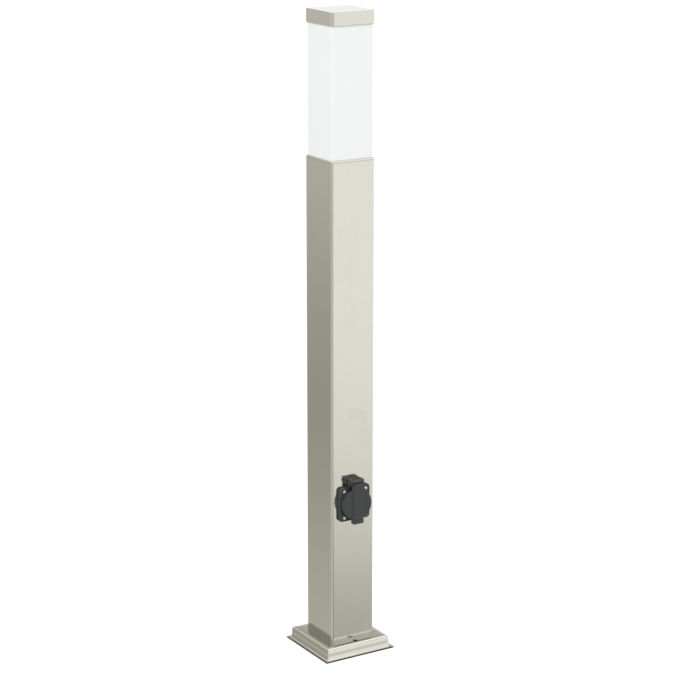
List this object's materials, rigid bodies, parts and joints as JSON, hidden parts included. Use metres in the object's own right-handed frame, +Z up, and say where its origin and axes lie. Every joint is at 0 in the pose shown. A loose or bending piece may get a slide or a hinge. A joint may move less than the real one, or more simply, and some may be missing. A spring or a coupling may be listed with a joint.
{
  "type": "garden socket post",
  "caption": "Square stainless garden post with a pressed foot, an opal light head under a flat cap and a hinged-lid outdoor power outlet low on one face.",
  "frame": {"origin": "middle of the foot's underside, on the ground", "axes": "+Z up the post; -Y is the face that carries the outlet; +X to the right of that face"},
  "size_m": [0.123, 0.123, 1],
  "materials": {
    "stainless": "polished warm grey stainless sheet",
    "steel_zinc": "zinc-plated sheet",
    "screw_steel": "bright stainless",
    "spring_steel": "black phosphated spring steel",
    "brass": "plain brass",
    "nickel": "nickel plate",
    "rubber": "matt black",
    "silicone": "soft grey",
    "opal": "opal white, satin",
    "charcoal_plastic": "fine satin charcoal",
    "insert_plastic": "satin black",
    "white_plastic": "white moulding",
    "frosted": "frosted lamp globe",
    "wire_brown": "cable sleeve",
    "wire_blue": "cable sleeve",
    "wire_green": "cable sleeve"
  },
  "bodies": {
    "post": {"foot": "stainless", "post_tube": "stainless", "top_collar": "stainless", "post_base_plate": "steel_zinc", "terminal_bracket": "steel_zinc", "lamp_bridge": "steel_zinc", "holder_nipple": "steel_zinc", "bridge_nuts": "steel_zinc", "flange_nuts": "steel_zinc", "foot_screws": "screw_steel", "block_screws": "screw_steel", "bridge_screws": "screw_steel", "flange_screws": "screw_steel", "insert_screw": "screw_steel", "hinge_pin": "screw_steel", "head_clips": "spring_steel", "lid_spring": "spring_steel", "earth_screw": "brass", "terminal_screws": "brass", "earth_lug": "brass", "holder_shell": "brass", "holder_contact": "brass", "pin_contacts": "brass", "earth_clips": "brass", "outlet_terminals": "brass", "lamp_cap": "nickel", "cable_inlet": "rubber", "flange_seal": "rubber", "diffuser_seal": "silicone", "outlet_frame": "charcoal_plastic", "outlet_insert": "insert_plastic", "outlet_back": "insert_plastic", "lampholder": "white_plastic", "lamp_body": "white_plastic", "terminal_block": "white_plastic", "lamp_globe": "frosted", "live_wires": "wire_brown", "neutral_wires": "wire_blue", "earth_wires": "wire_green"},
    "lid": {"lid": "charcoal_plastic", "lid_seal": "rubber"},
    "head": {"diffuser": "opal", "cap": "stainless", "cap_seal": "silicone"}
  },
  "joints": [
    {"name": "lid_hinge", "type": "hinge", "parent": "post", "child": "lid", "pos_m": [0, -0.0505, 0.2818], "axis": [-1, 0, 0], "range_deg": [0, 105], "stiffness_Nm_per_rad": 0.02, "springref_deg": -57.3, "deforming": ["lid_spring"]},
    {"name": "head_lift", "type": "slide", "parent": "post", "child": "head", "axis": [0, 0, 1], "range_m": [0, 0.13]}
  ]
}
